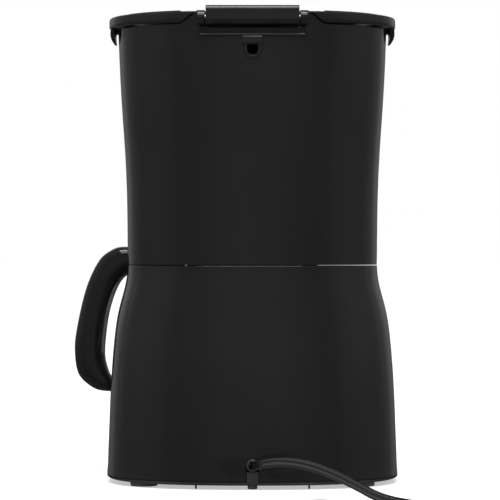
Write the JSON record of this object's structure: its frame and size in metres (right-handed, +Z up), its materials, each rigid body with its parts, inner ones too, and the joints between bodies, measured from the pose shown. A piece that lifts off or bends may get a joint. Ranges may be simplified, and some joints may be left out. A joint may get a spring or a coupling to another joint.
{
  "type": "drip coffee maker",
  "caption": "Countertop drip coffee maker with a hinged lid, swing-out filter holder, warming plate, glass carafe and mains lead.",
  "frame": {"origin": "centre of the footprint at table level, measured without the mains lead", "axes": "+Z up; -Y towards the machine's front, where the carafe comes out; +X towards the side of the carafe's handle, the machine's left as its user faces it being -X"},
  "size_m": [0.232, 0.4705, 0.3162],
  "materials": {
    "gloss_black": "polished, finely orange-peeled",
    "matte_black": "fine spark-eroded grain",
    "foot_rubber": "matt",
    "screw_steel": "zinc plated",
    "pin_steel": "ground",
    "tank_plastic": "natural, slightly translucent",
    "cast_aluminium": "as cast",
    "thermostat_body": "phenolic",
    "silicone": "satin silicone",
    "plate_coating": "non-stick coating, satin",
    "clear_glass": "clear",
    "band_steel": "brushed round the band",
    "switch_key": "polished",
    "lamp_red": "clear tinted",
    "wire_sleeve": "woven glass sleeve",
    "cord_jacket": "glossy PVC",
    "tie_plastic": "satin",
    "plug_plastic": "moulded PVC",
    "plug_brass": "plain"
  },
  "bodies": {
    "machine": {"lower_rear_cover": "gloss_black", "base_housing": "gloss_black", "upper_rear_cover": "gloss_black", "head_housing": "gloss_black", "base_plate": "matte_black", "rubber_feet": "foot_rubber", "base_screws": "screw_steel", "water_tank": "tank_plastic", "top_deck": "matte_black", "spray_head": "matte_black", "heater": "cast_aluminium", "heater_element": "screw_steel", "thermostat": "thermostat_body", "cold_hose": "silicone", "riser_hose": "silicone", "hose_clips": "pin_steel", "warming_plate": "plate_coating", "plate_seal": "silicone", "lid_hinge_pin": "pin_steel", "holder_hinge_pin": "pin_steel", "switch_frame": "matte_black", "indicator_lens": "lamp_red", "wiring": "wire_sleeve", "lead_inner": "cord_jacket", "cord_clamp": "matte_black", "clamp_screws": "screw_steel", "cord_grommet": "matte_black", "power_cord": "cord_jacket", "cord_coil": "cord_jacket", "cord_tail": "cord_jacket", "cord_tie": "tie_plastic", "plug_body": "plug_plastic", "plug_blades": "plug_brass"},
    "lid": {"lid": "gloss_black", "lid_panel": "gloss_black"},
    "holder": {"filter_holder": "gloss_black", "filter_basket": "matte_black"},
    "drip_stop": {"drip_stop_plunger": "matte_black", "drip_stop_seal": "silicone", "drip_stop_spring": "pin_steel"},
    "rocker": {"switch_rocker": "switch_key"},
    "carafe": {"carafe_glass": "clear_glass", "carafe_band": "band_steel", "carafe_handle": "gloss_black", "band_screw": "screw_steel"},
    "carafe_lid": {"carafe_lid": "matte_black"}
  },
  "joints": [
    {"name": "lid_hinge", "type": "hinge", "parent": "machine", "child": "lid", "pos_m": [-0.0131, 0.105, 0.3084], "axis": [-1, 0, 0], "range_deg": [0, 95]},
    {"name": "filter_holder_hinge", "type": "hinge", "parent": "machine", "child": "holder", "pos_m": [0.0619, -0.0325, 0.2], "axis": [0, 0, 1], "range_deg": [0, 80]},
    {"name": "drip_stop_slide", "type": "slide", "parent": "holder", "child": "drip_stop", "axis": [0, 0, 1], "range_m": [0, 0.003], "stiffness_N_per_m": 200, "springref_m": -0.001, "deforming": ["drip_stop_spring"]},
    {"name": "switch_rock", "type": "hinge", "parent": "machine", "child": "rocker", "pos_m": [-0.0131, -0.1078, 0.02], "axis": [-1, 0, 0], "range_deg": [0, 18]},
    {"name": "carafe_slide", "type": "slide", "parent": "machine", "child": "carafe", "axis": [0, -1, 0], "range_m": [0, 0.26]},
    {"name": "carafe_lid_twist", "type": "hinge", "parent": "carafe", "child": "carafe_lid", "pos_m": [-0.0131, -0.0375, 0.15], "axis": [0, 0, 1], "range_deg": [0, 40]}
  ]
}
